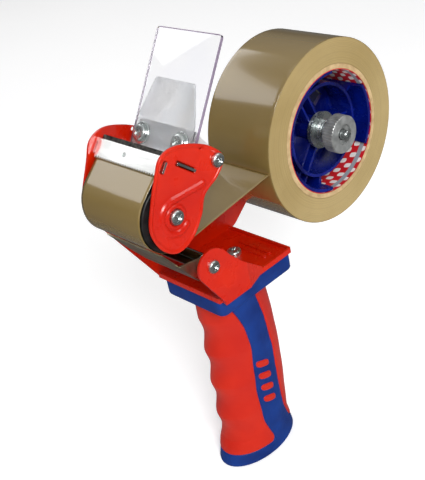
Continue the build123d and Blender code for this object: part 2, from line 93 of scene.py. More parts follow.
def addCamera():
    # the camera stands at back * distance, moved sideways and up in the plane it faces
    azimuth, elevation, lean = (math.radians(viewing[k]) for k in ("azimuth", "elevation", "roll"))
    back = np.array(
        [math.sin(azimuth) * math.cos(elevation), -math.cos(azimuth) * math.cos(elevation), math.sin(elevation)]
    )
    right = np.cross(-back, [0, 0, 1])
    right = right / np.linalg.norm(right)
    up = np.cross(right, -back)
    turnedRight = math.cos(lean) * right + math.sin(lean) * up
    turnedUp = -math.sin(lean) * right + math.cos(lean) * up
    place = back * viewing["distance"] - turnedRight * viewing["sideways"] - turnedUp * viewing["upward"]
    camera = bpy.data.objects.new("camera", bpy.data.cameras.new("camera"))
    bpy.context.scene.collection.objects.link(camera)
    camera.data.lens = viewing["lens"]
    camera.data.sensor_width = 36
    camera.data.clip_start = 0.01
    matrix = np.eye(4)
    matrix[:3, 0], matrix[:3, 1], matrix[:3, 2], matrix[:3, 3] = turnedRight, turnedUp, back, place
    camera.matrix_world = Matrix(matrix.tolist())
    bpy.context.scene.camera = camera


studio = {
    "floorSize": 9.0,
    "floorLook": {
        "dark": (246, 246, 247), "light": (250, 250, 250), "cloud": 1.5, "rough": (0.75, 0.9),
        "shader": {"Emission Color": (1, 1, 1, 1), "Emission Strength": 0.3, "Specular IOR Level": 0.1},
    },
    "sky": [
        # height from -1 to 1, tone
        (0.0, (0.34, 0.34, 0.34)),
        (0.12, (0.24, 0.24, 0.25)),
        (0.6, (1.0, 1.0, 1.0)),
    ],
    "skyStrength": 0.34,
    "lights": [
        # name, place, aim, width, height, watts
        ("keySoftbox", (0.62, 1.12, 0.86), (0.04, 0.0, -0.02), 0.5, 0.5, 17.0),
        ("rimSoftbox", (-0.62, 0.80, 0.80), (0.10, 0.0, 0.0), 0.25, 0.25, 1.4),
        ("farSoftbox", (0.20, -1.25, 0.98), (0.06, 0.0, 0.02), 1.5, 0.5, 5.0),
        ("frontFill", (1.35, 0.35, 0.45), (0.08, 0.0, -0.05), 0.5, 0.5, 0.8),
        ("topSheet", (-0.1, 0.1, 1.7), (0.0, 0.0, 0.0), 2.2, 2.2, 6.5),
    ],
}


def addStudio(floorZ):
    # a square of paper at the lowest point, one area lamp per row of lights, and a sky graded by height
    half = studio["floorSize"] / 2
    mesh = bpy.data.meshes.new("floor")
    corners = [(-half, -half, floorZ), (half, -half, floorZ), (half, half, floorZ), (-half, half, floorZ)]
    mesh.from_pydata(corners, [], [(0, 1, 2, 3)])
    floor = bpy.data.objects.new("floor", mesh)
    bpy.context.scene.collection.objects.link(floor)
    mesh.materials.append(makeFinish("floorPaper", studio["floorLook"]))
    floor.visible_glossy = False  # gloss shows the softboxes, not the paper
    floor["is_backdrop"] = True
    for name, place, aim, width, height, watts in studio["lights"]:
        lamp = bpy.data.lights.new(name, "AREA")
        lamp.shape, lamp.size, lamp.size_y, lamp.energy = "RECTANGLE", width, height, watts
        light = bpy.data.objects.new(name, lamp)
        bpy.context.scene.collection.objects.link(light)
        back = np.array(place) - np.array(aim)
        back = back / np.linalg.norm(back)
        right = np.cross([0, 0, 1.0], back)
        right = right / max(np.linalg.norm(right), 1e-6)
        up = np.cross(back, right)
        matrix = np.eye(4)
        matrix[:3, 0], matrix[:3, 1], matrix[:3, 2], matrix[:3, 3] = right, up, back, place
        light.matrix_world = Matrix(matrix.tolist())
    world = bpy.data.worlds.new("studioSky")
    bpy.context.scene.world = world
    world.use_nodes = True
    tree = world.node_tree
    tree.nodes.clear()
    coords = tree.nodes.new("ShaderNodeTexCoord")
    split = tree.nodes.new("ShaderNodeSeparateXYZ")
    ramp = tree.nodes.new("ShaderNodeValToRGB")
    stops = ramp.color_ramp.elements
    stops[0].position, stops[1].position = studio["sky"][0][0], studio["sky"][2][0]
    stops.new(studio["sky"][1][0])
    for stop, (_, shade) in zip(stops, studio["sky"]):
        stop.color = shade + (1.0,)
    sky = tree.nodes.new("ShaderNodeBackground")
    sky.inputs["Strength"].default_value = studio["skyStrength"]
    output = tree.nodes.new("ShaderNodeOutputWorld")
    tree.links.new(coords.outputs["Generated"], split.inputs[0])
    tree.links.new(split.outputs["Z"], ramp.inputs[0])
    tree.links.new(ramp.outputs[0], sky.inputs["Color"])
    tree.links.new(sky.outputs[0], output.inputs[0])


# finishes

def makeFinish(name, look):
    # colour wanders between dark and light with soft noise, gloss with a second noise, relief with a third
    material = bpy.data.materials.new(name)
    material.use_nodes = True
    tree = material.node_tree
    tree.nodes.clear()
    add, link = tree.nodes.new, tree.links.new
    output = add("ShaderNodeOutputMaterial")
    shader = add("ShaderNodeBsdfPrincipled")
    link(shader.outputs[0], output.inputs[0])
    coords = add("ShaderNodeTexCoord")
    place = add("ShaderNodeMapping")
    place.inputs["Scale"].default_value = look.get("stretch", (1, 1, 1))
    link(coords.outputs["Object"], place.inputs[0])

    cloud = add("ShaderNodeTexNoise")
    cloud.inputs["Scale"].default_value = look.get("cloud", 60)
    cloud.inputs["Detail"].default_value = look.get("cloudDetail", 5)
    link(place.outputs[0], cloud.inputs["Vector"])
    blend = add("ShaderNodeValToRGB")
    for stop, edge, key in zip(blend.color_ramp.elements, (0.35, 0.65), ("dark", "light")):
        stop.position, stop.color = edge, tone(*look[key])
    link(cloud.outputs["Fac"], blend.inputs[0])
    link(blend.outputs[0], shader.inputs["Base Color"])

    smudge = add("ShaderNodeTexNoise")
    smudge.inputs["Scale"].default_value = look.get("smudge", 140)
    smudge.inputs["Detail"].default_value = 4
    link(place.outputs[0], smudge.inputs["Vector"])
    gloss = add("ShaderNodeMapRange")
    gloss.inputs["From Min"].default_value, gloss.inputs["From Max"].default_value = 0.3, 0.7
    gloss.inputs["To Min"].default_value, gloss.inputs["To Max"].default_value = look.get("rough", (0.3, 0.4))
    link(smudge.outputs["Fac"], gloss.inputs["Value"])
    link(gloss.outputs[0], shader.inputs["Roughness"])

    grainSize, grainDepth = look.get("grain", (900, 0.01))
    grain = add("ShaderNodeTexNoise")
    grain.inputs["Scale"].default_value = grainSize
    grain.inputs["Detail"].default_value = look.get("grainDetail", 3)
    link(place.outputs[0], grain.inputs["Vector"])
    relief = add("ShaderNodeBump")
    relief.inputs["Strength"].default_value = 1.0
    relief.inputs["Distance"].default_value = grainDepth * mm
    link(grain.outputs["Fac"], relief.inputs["Height"])
    if look.get("edge"):
        rounding = add("ShaderNodeBevel")
        rounding.samples = 4
        rounding.inputs["Radius"].default_value = look["edge"] * mm
        link(rounding.outputs[0], relief.inputs["Normal"])
    link(relief.outputs[0], shader.inputs["Normal"])

    for socket, value in look.get("shader", {}).items():
        shader.inputs[socket].default_value = value
    material["base"], material["shader"], material["coords"] = blend.name, shader.name, coords.name
    return material


finishLooks = {
    "redPaint": {
        "dark": (192, 28, 0), "light": (208, 38, 1), "cloud": 35, "rough": (0.24, 0.34), "smudge": 90,
        "grain": (500, 0.012), "edge": 0.5,
        "shader": {"Coat Weight": 0.4, "Coat Roughness": 0.14, "Coat IOR": 1.45, "Specular IOR Level": 0.3},
    },
    "bluePlastic": {
        "dark": (0, 44, 112), "light": (1, 58, 136), "cloud": 45, "rough": (0.42, 0.55),
        "grain": (2200, 0.03), "edge": 0.5,
        "shader": {"Specular IOR Level": 0.28},
    },
    "softRed": {
        "dark": (188, 28, 4), "light": (202, 38, 8), "cloud": 28, "rough": (0.5, 0.64),
        "grain": (2600, 0.035), "edge": 0.0,
        "shader": {"Specular IOR Level": 0.25, "Sheen Weight": 0.05, "Sheen Roughness": 0.4},
    },
    "hubPlastic": {
        "dark": (4, 14, 74), "light": (10, 30, 122), "cloud": 40, "rough": (0.2, 0.32),
        "grain": (1500, 0.015), "edge": 0.35,
        "shader": {"Specular IOR Level": 0.55, "Subsurface Weight": 0.08, "Subsurface Scale": 0.001},
    },
    "zinc": {
        "dark": (172, 178, 178), "light": (218, 223, 222), "cloud": 120, "cloudDetail": 8, "rough": (0.2, 0.36),
        "smudge": 420, "grain": (1600, 0.012), "edge": 0.25,
        "shader": {"Metallic": 0.96},
    },
    "brightZinc": {
        "dark": (218, 222, 224), "light": (242, 245, 246), "cloud": 180, "cloudDetail": 6, "rough": (0.36, 0.5),
        "grain": (1400, 0.01), "edge": 0.3,
        "shader": {"Metallic": 0.25},
    },
    "bladeChrome": {
        "dark": (206, 208, 206), "light": (244, 245, 244), "cloud": 90, "rough": (0.14, 0.24), "smudge": 300,
        "stretch": (1, 0.12, 1), "grain": (1800, 0.01), "edge": 0.12,
        "shader": {"Metallic": 1.0},
    },
    "knurledZinc": {
        "dark": (150, 152, 151), "light": (186, 188, 187), "cloud": 220, "cloudDetail": 8, "rough": (0.36, 0.5),
        "smudge": 420, "grain": (1600, 0.014), "edge": 0.2,
        "shader": {"Metallic": 0.6},
    },
    "darkSteel": {
        "dark": (34, 34, 36), "light": (86, 84, 80), "cloud": 420, "cloudDetail": 8, "rough": (0.22, 0.4),
        "grain": (1500, 0.02), "edge": 0.2,
        "shader": {"Metallic": 1.0},
    },
    # backstop plate: grey spring steel with a painted tan reflection of the tape mixed into its base colour
    "springPlatePaintedTapeReflection": {
        "dark": (176, 166, 140), "light": (214, 204, 178), "cloud": 90, "cloudDetail": 6, "rough": (0.3, 0.48),
        "stretch": (1, 0.35, 1), "grain": (900, 0.03), "edge": 0.15,
        "shader": {"Metallic": 1.0},
    },
    "guideChrome": {
        "dark": (84, 88, 84), "light": (150, 154, 148), "cloud": 150, "rough": (0.06, 0.14),
        "stretch": (1, 0.2, 1), "grain": (800, 0.008), "edge": 0.2,
        "shader": {"Metallic": 1.0},
    },
    "blackRubber": {
        "dark": (14, 14, 15), "light": (34, 34, 34), "cloud": 220, "rough": (0.45, 0.62), "grain": (2600, 0.05),
        "edge": 0.4,
    },
    "greyPlastic": {
        "dark": (116, 118, 116), "light": (150, 152, 148), "cloud": 130, "rough": (0.4, 0.55),
        "grain": (1800, 0.03), "edge": 0.3,
    },
    "clearFlap": {
        "dark": (250, 250, 254), "light": (255, 255, 255), "cloud": 25, "rough": (0.01, 0.03),
        "grain": (60, 0.006), "edge": 0.3,
        "shader": {"Transmission Weight": 1.0, "IOR": 1.38, "Specular IOR Level": 0.5},
    },
    "frostedFlap": {
        "dark": (246, 249, 252), "light": (255, 255, 255), "cloud": 60, "rough": (0.3, 0.42),
        "grain": (900, 0.01), "edge": 0.4,
        "shader": {"Transmission Weight": 0.72, "IOR": 1.3},
    },
    "tapeFilm": {
        "dark": (118, 98, 56), "light": (134, 114, 70), "cloud": 16, "rough": (0.12, 0.2), "smudge": 60,
        "stretch": (1, 0.25, 1), "grain": (120, 0.05), "grainDetail": 1,
        "shader": {"Coat Weight": 0.9, "Coat Roughness": 0.08, "Specular IOR Level": 0.5},
    },
    "rollSide": {
        "dark": (170, 146, 94), "light": (188, 164, 112), "cloud": 14, "rough": (0.32, 0.5),
        "grain": (900, 0.03),
        "shader": {"Specular IOR Level": 0.4},
    },
    "corePaper": {
        "dark": (170, 142, 100), "light": (198, 170, 126), "cloud": 260, "cloudDetail": 8, "rough": (0.75, 0.9),
        "grain": (1400, 0.06),
    },
    "printedLiner": {
        "dark": (196, 24, 34), "light": (214, 34, 42), "cloud": 70, "rough": (0.4, 0.55), "grain": (900, 0.02),
    },
}
finishes = {name: makeFinish(name, look) for name, look in finishLooks.items()}
print("finishes mixed:", len(finishes))


def nodeBy(material, key):
    # a node that makeFinish noted under this key
    return material.node_tree.nodes[material[key]]


def splitCoords(material):
    # the X, Y and Z outputs of the object's own coordinates, in metres
    split = material.node_tree.nodes.new("ShaderNodeSeparateXYZ")
    material.node_tree.links.new(nodeBy(material, "coords").outputs["Object"], split.inputs[0])
    return split.outputs["X"], split.outputs["Y"], split.outputs["Z"]


def mathsOf(material):
    # gives a function that adds one sum: numbers or outputs in, an output back
    tree = material.node_tree

    def maths(operation, first, second=None):
        step = tree.nodes.new("ShaderNodeMath")
        step.operation = operation
        for socket, value in zip(step.inputs, (first, second)):
            if isinstance(value, (int, float)):
                socket.default_value = value
            elif value is not None:
                tree.links.new(value, socket)
        return step.outputs[0]

    return maths


def mixTone(material, factor, under, over):
    # a fixed tone where the factor is 1, what lies under it where it is 0
    tree = material.node_tree
    mix = tree.nodes.new("ShaderNodeMix")
    mix.data_type = "RGBA"
    tree.links.new(factor, mix.inputs["Factor"])
    tree.links.new(under, mix.inputs["A"])
    mix.inputs["B"].default_value = tone(*over)
    return mix.outputs["Result"]


winding = {"scale": 3200, "detail": 6, "strength": 0.34}


def addWindingRings(material):
    # rings round the Y axis: noise over the root of x^2 + z^2, multiplied into the base colour
    add, link = material.node_tree.nodes.new, material.node_tree.links.new
    maths = mathsOf(material)
    x, _, z = splitCoords(material)
    radius = maths("SQRT", maths("ADD", maths("MULTIPLY", x, x), maths("MULTIPLY", z, z)))
    rings = add("ShaderNodeTexNoise")
    rings.noise_dimensions = "1D"
    rings.inputs["Scale"].default_value = winding["scale"]
    rings.inputs["Detail"].default_value = winding["detail"]
    link(radius, rings.inputs["W"])
    shade = add("ShaderNodeMapRange")
    shade.inputs["From Min"].default_value, shade.inputs["From Max"].default_value = 0.3, 0.7
    shade.inputs["To Min"].default_value, shade.inputs["To Max"].default_value = 1.0 - winding["strength"], 1.0
    link(rings.outputs["Fac"], shade.inputs["Value"])
    mix = add("ShaderNodeMix")
    mix.data_type, mix.blend_type = "RGBA", "MULTIPLY"
    mix.inputs["Factor"].default_value = 1.0
    link(nodeBy(material, "base").outputs[0], mix.inputs["A"])
    link(shade.outputs[0], mix.inputs["B"])
    link(mix.outputs["Result"], nodeBy(material, "shader").inputs["Base Color"])


addWindingRings(finishes["rollSide"])

linerPrint = {
    "rows": 5.0, "width": 0.05, "perTurn": 30.0, "slant": 0.35, "gap": 0.22, "light": (240, 232, 228),
    "stripe": (150, 156, 164), "stripeEdges": (0.0195, 0.0225),
}


def addLinerPrint(material):
    # slanted round-ended dashes: sine of the angle times sine of the width, and a stripe near one edge
    maths = mathsOf(material)
    x, y, z = splitCoords(material)
    across = maths("MULTIPLY", y, 2 * math.pi * linerPrint["rows"] / linerPrint["width"])
    around = maths("MULTIPLY", maths("ARCTAN2", z, x), linerPrint["perTurn"])
    leaning = maths("ADD", around, maths("MULTIPLY", across, linerPrint["slant"]))
    dash = maths("MULTIPLY", maths("SINE", leaning), maths("SINE", across))
    printed = maths("GREATER_THAN", dash, linerPrint["gap"])
    low, high = linerPrint["stripeEdges"]
    band = maths("MULTIPLY", maths("GREATER_THAN", y, low), maths("LESS_THAN", y, high))
    dashed = mixTone(material, printed, nodeBy(material, "base").outputs[0], linerPrint["light"])
    striped = mixTone(material, band, dashed, linerPrint["stripe"])
    material.node_tree.links.new(striped, nodeBy(material, "shader").inputs["Base Color"])


addLinerPrint(finishes["printedLiner"])

flapEdge = {
    "halfWide": 0.0251, "start": (0.110, 0.0336), "direction": (-0.564, 0.826), "length": 0.0655,
    "tint": (176, 160, 184), "clear": 0.45,
}


def addFlapEdge(material):
    # cut edges: past a half width, or past a length along the flap, the sheet is tinted and less clear
    link = material.node_tree.links.new
    maths = mathsOf(material)
    x, y, z = splitCoords(material)
    (startX, startZ), (wayX, wayZ) = flapEdge["start"], flapEdge["direction"]
    alongX = maths("MULTIPLY", maths("SUBTRACT", x, startX), wayX)
    alongZ = maths("MULTIPLY", maths("SUBTRACT", z, startZ), wayZ)
    beyond = maths("GREATER_THAN", maths("ADD", alongX, alongZ), flapEdge["length"])
    mask = maths("MAXIMUM", maths("GREATER_THAN", maths("ABSOLUTE", y), flapEdge["halfWide"]), beyond)
    tinted = mixTone(material, mask, nodeBy(material, "base").outputs[0], flapEdge["tint"])
    link(tinted, nodeBy(material, "shader").inputs["Base Color"])
    clear = material.node_tree.nodes.new("ShaderNodeMapRange")
    clear.inputs["To Min"].default_value, clear.inputs["To Max"].default_value = 1.0, flapEdge["clear"]
    link(mask, clear.inputs["Value"])
    link(clear.outputs[0], nodeBy(material, "shader").inputs["Transmission Weight"])


addFlapEdge(finishes["clearFlap"])

nodeFinish = {
    "redPaint": ["frame", "near_cheek"],
    "bluePlastic": ["handle_body"],
    "softRed": ["grip_front", "grip_back"],
    "hubPlastic": ["reel_hub"],
    "zinc": [
        "blade_rivet", "roller_axle", "pivot_rod", "guide_shaft", "roller_screws", "rod_screws", "guide_screws",
        "flap_collars", "flap_screws", "reel_axle", "brake_stud", "axle_washer", "axle_lock_nut",
        "axle_shoulder_nut", "brake_washers", "thrust_washer", "grip_bolts", "grip_nuts",
        "flap_spring", "brake_spring", "backstop_spring",
    ],
    "brightZinc": ["flap_clamp"],
    "knurledZinc": ["brake_nut"],
    "bladeChrome": ["blade", "blade_bracket"],
    "darkSteel": ["guard_strip"],
    # the backstop plate's tan tint is a painted reflection of the tape, not the steel's own colour
    "springPlatePaintedTapeReflection": ["backstop_plate"],
    "guideChrome": ["guide_roller"],
    "blackRubber": ["roller_tyre"],
    "greyPlastic": ["roller_core"],
    "clearFlap": ["flap"],
    "frostedFlap": ["flap_stiffener"],
    "tapeFilm": ["tape_roll", "tape_web"],
    "corePaper": ["roll_core"],
    "printedLiner": ["core_liner"],
}
for finishName, names in nodeFinish.items():
    for name in names:
        slots = nodes[name].data.materials
        if slots:
            for index in range(len(slots)):
                slots[index] = finishes[finishName]
        else:
            slots.append(finishes[finishName])
print("CAD nodes painted:", sum(len(names) for names in nodeFinish.values()))


# numpy surfaces

def gridPatch(grid, around=False, capFirst=False, capLast=False, finish=0):
    # quads between neighbours of a (rows, columns, 3) grid, closed round its columns if wanted, with fan caps
    rows, columns = grid.shape[:2]
    index = np.arange(rows * columns).reshape(rows, columns)
    here, below = index[:-1], index[1:]
    if around:
        quads = np.stack([here, np.roll(here, -1, 1), np.roll(below, -1, 1), below], -1)
    else:
        quads = np.stack([here[:, :-1], here[:, 1:], below[:, 1:], below[:, :-1]], -1)
    points, fans = grid.reshape(-1, 3), []
    for wanted, row in ((capFirst, 0), (capLast, rows - 1)):
        if wanted:
            ring = index[row]
            nextPoint = np.roll(ring, -1)
            hub = np.full(columns, len(points))
            points = np.vstack([points, grid[row].mean(0)[None]])
            fans.append(np.stack([ring, nextPoint, hub], -1) if row else np.stack([nextPoint, ring, hub], -1))
    fanned = np.vstack(fans) if fans else np.zeros((0, 3), int)
    return {"points": points, "quads": quads.reshape(-1, 4), "fans": fanned, "finish": finish}


def makePiece(name, patches, finishNames, body, replaced=(), merge=0.0):
    # joins patches in millimetres into one mesh in metres and turns its faces outwards
    points = np.vstack([p["points"] for p in patches]) * mm
    starts = np.cumsum([0] + [len(p["points"]) for p in patches[:-1]])
    loops, sizes, paint = [], [], []
    for start, patch in zip(starts, patches):
        for faces in (patch["quads"], patch["fans"]):
            loops.append((faces + start).ravel())
            sizes.append(np.full(len(faces), faces.shape[1]))
            paint.append(np.full(len(faces), patch["finish"]))
    loops, sizes, paint = np.concatenate(loops), np.concatenate(sizes), np.concatenate(paint)
    mesh = bpy.data.meshes.new(name)
    mesh.vertices.add(len(points))
    mesh.vertices.foreach_set("co", points.astype(np.float32).ravel())
    mesh.loops.add(len(loops))
    mesh.loops.foreach_set("vertex_index", loops.astype(np.int32))
    mesh.polygons.add(len(sizes))
    mesh.polygons.foreach_set("loop_start", np.concatenate([[0], np.cumsum(sizes)[:-1]]).astype(np.int32))
    mesh.polygons.foreach_set("material_index", paint.astype(np.int32))
    mesh.update(calc_edges=True)
    mesh.validate()
    shape = bmesh.new()
    shape.from_mesh(mesh)
    if merge:
        bmesh.ops.remove_doubles(shape, verts=shape.verts, dist=merge * mm)
    bmesh.ops.recalc_face_normals(shape, faces=shape.faces)
    shape.to_mesh(mesh)
    shape.free()
    mesh.shade_smooth()
    for finishName in finishNames:
        mesh.materials.append(finishes[finishName])
    piece = bpy.data.objects.new(name, mesh)
    bpy.context.scene.collection.objects.link(piece)
    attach(piece, body)
    if replaced:
        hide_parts(*replaced)
    print("piece", name, len(mesh.polygons), "faces")
    return piece


def turned(profile, steps=240):
    # a profile of (radius, y) carried round the Y axis: x = radius cos(angle), z = radius sin(angle)
    angle = np.linspace(0, 2 * math.pi, steps, endpoint=False)
    radius, y = (np.repeat(profile[:, column][:, None], steps, 1) for column in (0, 1))
    return np.stack([radius * np.cos(angle), y, radius * np.sin(angle)], -1)


def softCorners(corners, radius, steps=5):
    # closed outline with each corner replaced by a quadratic curve from edge to edge
    corners = np.asarray(corners, float)

    def reached(neighbour):
        edge = neighbour - corners
        length = np.linalg.norm(edge, axis=1)[:, None]
        return corners + edge / length * np.minimum(radius, length * 0.45)

    start, end = reached(np.roll(corners, 1, 0)), reached(np.roll(corners, -1, 0))
    t = np.linspace(0, 1, steps)[None, :, None]
    curve = start[:, None] * (1 - t) ** 2 + corners[:, None] * 2 * t * (1 - t) + end[:, None] * t**2
    return curve.reshape(-1, 2)


def tube(path, radius, sides=10, reference=(0.0, 1.0, 0.0)):
    # a circle of that radius carried along a path; its normal is the tangent crossed with a fixed reference
    tangent = np.gradient(path, axis=0)
    tangent /= np.linalg.norm(tangent, axis=1)[:, None]
    normal = np.cross(tangent, reference)
    normal /= np.linalg.norm(normal, axis=1)[:, None]
    other = np.cross(tangent, normal)
    angle = np.linspace(0, 2 * math.pi, sides, endpoint=False)[None, :, None]
    grid = path[:, None] + radius * (np.cos(angle) * normal[:, None] + np.sin(angle) * other[:, None])
    return gridPatch(grid, around=True, capFirst=True, capLast=True)


# roll of tape: film wound on the core, sides faintly stepped by the winding
roll = {"corner": 0.35, "step": 0.06, "rings": 44, "waves": (5.1, 1.7), "rimRows": 24}


def makeRoll():
    # profile: outside at the roll's radius, side faces with y = half width minus a small ripple over radius
    high = span("tape_roll")[1]
    outer, half = high[0], high[1]
    inner = span("roll_core")[1][0]
    radii = np.linspace(inner, outer - roll["corner"], roll["rings"])
    quick, slow = roll["waves"]
    wave = roll["step"] * (0.5 + 0.5 * np.sin(radii * quick) * np.cos(radii * slow))
    wave[0] = wave[-1] = 0
    nearSide = np.stack([radii, half - wave], 1)
    farSide = np.stack([radii[::-1], -(half - wave[::-1])], 1)
    bend, corner = np.linspace(0, math.pi / 2, 5), roll["corner"]
    nearCorner = np.stack([outer - corner * (1 - np.sin(bend)), half - corner * (1 - np.cos(bend))], 1)
    rimY = np.linspace(half - corner, -half + corner, roll["rimRows"])
    rim = np.stack([np.full(roll["rimRows"], outer), rimY], 1)
    farCorner = nearCorner[::-1] * (1, -1)
    bore = np.stack([np.full(2, inner), [-half, half]], 1)
    film = turned(np.vstack([nearCorner, rim, farCorner]))
    makePiece(
        "tapeWound",
        [
            gridPatch(film, around=True),
            gridPatch(turned(nearSide), around=True, finish=1),
            gridPatch(turned(farSide), around=True, finish=1),
            gridPatch(turned(bore[::-1]), around=True, finish=1),
        ],
        ["tapeFilm", "rollSide"],
        "reel",
        ["tape_roll"],
        merge=0.002,
    )


makeRoll()

# film from roll to blade
# where the blade's bracket bends, the way its front falls, and the way out from that front, as (x, z)
bladeLine = {
    "bend": np.array([127.0, 44.6]), "fall": np.array([0.674, -0.739]), "out": np.array([0.739, 0.674]),
}
web = {
    "thick": 0.12, "half": 25.0, "columns": 26, "path": 20.75, "peel": (57.1, -1.0), "torn": (10.7, -0.6),
    "runRows": 40, "arcRows": 120, "tornRows": 14,
}


def makeWeb():
    # a straight run to the roller, an arc round it, and a straight run to the teeth, thickened along its normal
    low, high = span("roller_tyre")
    centre = np.array([(low[0] + high[0]) / 2, (low[2] + high[2]) / 2])
    radius = web["path"]
    torn = bladeLine["bend"] + bladeLine["fall"] * web["torn"][0] + bladeLine["out"] * web["torn"][1]

    def touch(point, way):
        # angle where the line from a point touches the circle
        dx, dz = np.array(point) - centre
        return math.atan2(dz, dx) + way * math.acos(radius / math.hypot(dx, dz))

    first, last = touch(web["peel"], 1), touch(torn, -1)
    if first > math.pi:
        first -= 2 * math.pi
    angles = np.linspace(first, last, web["arcRows"])
    arc = centre + radius * np.stack([np.cos(angles), np.sin(angles)], 1)
    run = np.linspace(web["peel"], arc[0], web["runRows"])[:-1]
    lift = np.linspace(arc[-1], torn, web["tornRows"])[1:]
    path = np.vstack([run, arc, lift])
    tangent = np.gradient(path, axis=0)
    tangent /= np.linalg.norm(tangent, axis=1)[:, None]
    normal = np.stack([tangent[:, 1], -tangent[:, 0]], 1)
    outline = np.vstack([path + normal * web["thick"] / 2, (path - normal * web["thick"] / 2)[::-1]])
    across = np.linspace(-web["half"], web["half"], web["columns"])
    y, x = np.meshgrid(across, outline[:, 0], indexing="ij")
    z = np.broadcast_to(outline[:, 1], x.shape)
    grid = np.stack([x, y, z], -1)
    half = len(path)
    ends = [gridPatch(np.stack([grid[row, :half], grid[row, half:][::-1]], 0)) for row in (0, -1)]
    film = [gridPatch(grid, around=True)] + ends
    makePiece("tapeRun", film, ["tapeFilm"], "frame_body", ["tape_web"], merge=0.002)


makeWeb()

# springs as wound wire
springs = {
    "brakeSpring": {
        "centre": (0.0, 0.0), "low": 17.95, "high": 24.15, "coil": 6.5, "wire": 0.75, "turns": 4.5, "leg": None,
        "node": "brake_spring", "squash": "brake_travel", "foot": 17.2, "keep": 0.66,
    },
    "flapSpring": {
        "centre": (95.8, 28.4), "low": 9.3, "high": 15.0, "coil": 4.0, "wire": 0.48, "turns": 6.0,
        "leg": (0.55, 0.83), "legLong": 9.0, "node": "flap_spring",
    },
    "backstopSpring": {
        "centre": (115.6, -27.0), "low": 26.0, "high": 29.2, "coil": 3.7, "wire": 0.42, "turns": 4.0,
        "leg": (0.99, 0.14), "legLong": 6.0, "node": "backstop_spring",
    },
}


def makeSpring(name, look):
    # a helix round an axis along Y: angle grows evenly with y, with a straight leg along the last tangent
    x, z = look["centre"]
    angle = np.linspace(0, 2 * math.pi * look["turns"], int(look["turns"] * 28))
    share = angle / angle[-1]
    if look["leg"] is None:
        share = np.clip((share - 0.12) / 0.76, 0, 1)  # closed end coils
        start = 0.0
    else:
        start = math.atan2(look["leg"][1], look["leg"][0]) - math.pi / 2 - angle[-1]
    y = look["low"] + (look["high"] - look["low"]) * share
    path = np.stack([x + look["coil"] * np.cos(angle + start), y, z + look["coil"] * np.sin(angle + start)], 1)
    if look["leg"] is not None:
        way = np.array([look["leg"][0], 0, look["leg"][1]])
        reach = np.linspace(0.4, look["legLong"], 8)[:, None]
        path = np.vstack([path, path[-1] + way * reach])
    spring = makePiece(name, [tube(path, look["wire"])], ["zinc"], "frame_body", [look["node"]])
    if "squash" in look:
        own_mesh(spring)


for name, look in springs.items():
    makeSpring(name, look)

# near cheek: pressed sheet with rounded rim, bead and boss
cheek = {
    "outline": [
        (131.8, 46.0), (124.0, 48.4), (113.0, 45.8), (99.0, 38.3), (90.8, 28.0), (97.6, 19.6), (108.4, 13.9),
        (113.6, 4.2), (122.6, -5.4), (134.2, -8.2), (143.8, -0.9), (147.8, 12.2), (143.0, 26.0), (136.5, 38.8),
    ],
    "axle": (130.2, 11.8),
    "middle": (124.0, 24.0),
    "near": 28.8,
    "sheet": 1.2,
    "rim": 0.6,
    "bead": 1.3,
    "beadHalf": 2.2,
    "rolledRim": 0.75,
    "beadRadius": 9.4,
    "beadEnds": (92, -128),
    "beadTail": (108.5, 20.4),
    "boss": 0.9,
    "bossRise": (4.3, 5.0),
    "bossFall": (5.8, 7.4),
    "slotDeep": 1.2,
    "slotHalf": 1.3,
    "dimple": (104.2, 39.4),
    "dimpleWall": (1.0, 1.35),
    "rows": 100,
    "around": 360,
}


def smooth(value, low, high):
    # smoothstep: 3t^2 - 2t^3 of the share between low and high
    t = np.clip((value - low) / (high - low), 0, 1)
    return t * t * (3 - 2 * t)


def roundOutline(points, steps=40):
    # closed smooth curve through points: Catmull-Rom cubic between neighbours
    p = np.asarray(points, float)
    before, here, after, later = np.roll(p, 1, 0), p, np.roll(p, -1, 0), np.roll(p, -2, 0)
    t = np.linspace(0, 1, steps, endpoint=False)[None, :, None]
    a, b, c, d = before[:, None], here[:, None], after[:, None], later[:, None]
    square, cube = a - 2.5 * b + 2 * c - 0.5 * d, 1.5 * (b - c) + 0.5 * (d - a)
    return (b + 0.5 * t * (c - a) + t**2 * square + t**3 * cube).reshape(-1, 2)


def outlineReach(points, centre, angles):
    # distance from an inner point to a closed outline at each angle
    curve = roundOutline(points) - np.asarray(centre)
    facing = np.arctan2(curve[:, 1], curve[:, 0])
    order = np.argsort(facing)
    return np.interp(angles, facing[order], np.hypot(curve[:, 0], curve[:, 1])[order], period=2 * math.pi)


def slotDepth(x, z, start, direction, length):
    # 1 inside a slanted slot, 0 outside, with a steep wall
    halfWide = cheek["slotHalf"]
    along = (x - start[0]) * direction[0] + (z - start[1]) * direction[1]
    aside = -(x - start[0]) * direction[1] + (z - start[1]) * direction[0]
    inLength = smooth(along, -0.25, 0.15) * (1 - smooth(along, length - 0.15, length + 0.25))
    return inLength * (1 - smooth(np.abs(aside), halfWide - 0.15, halfWide + 0.25))


